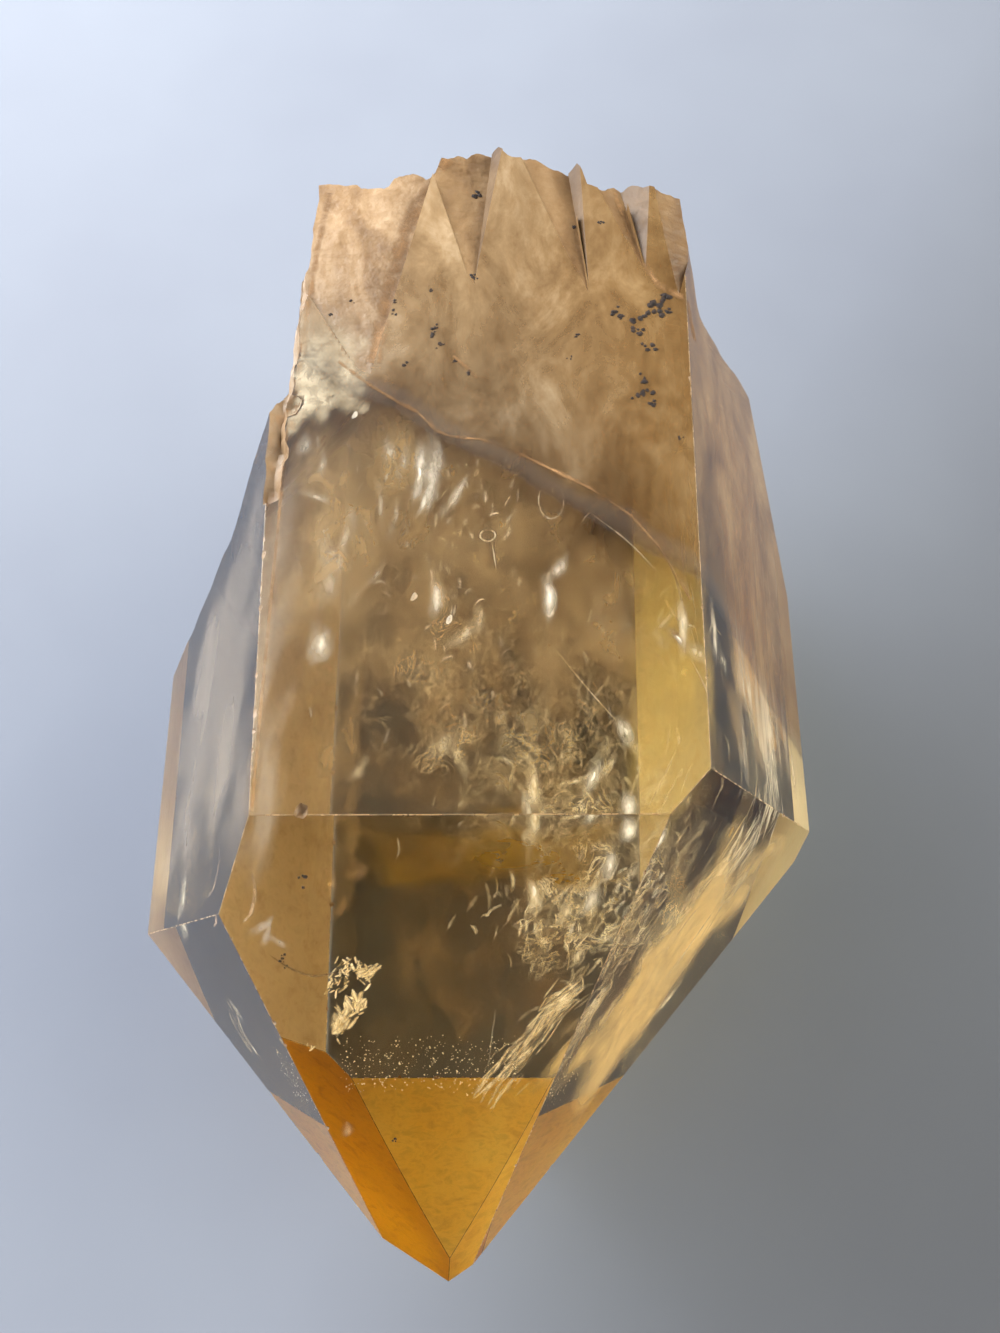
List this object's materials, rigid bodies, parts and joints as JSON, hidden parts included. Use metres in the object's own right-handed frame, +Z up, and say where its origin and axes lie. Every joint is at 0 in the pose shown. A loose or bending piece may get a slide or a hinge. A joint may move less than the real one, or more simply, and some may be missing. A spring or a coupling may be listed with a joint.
{
  "type": "citrine crystal",
  "caption": "Clear honey-coloured quartz crystal: a six-sided prism with a six-faced point at one end and a rough, ledged break at the other, lying on a prism face.",
  "frame": {"origin": "centre of the bounding box across and along the crystal, on the prism face it lies on", "axes": "+Y along the crystal from its point to its broken end, +Z up from the face it lies on, +X across"},
  "size_m": [0.0614, 0.0978, 0.0506],
  "materials": {
    "citrine": "clear, glossy growth faces, smoky to golden, orange at the point and milky at the break"
  },
  "bodies": {
    "root": {"citrine_crystal": "citrine"}
  },
  "joints": []
}
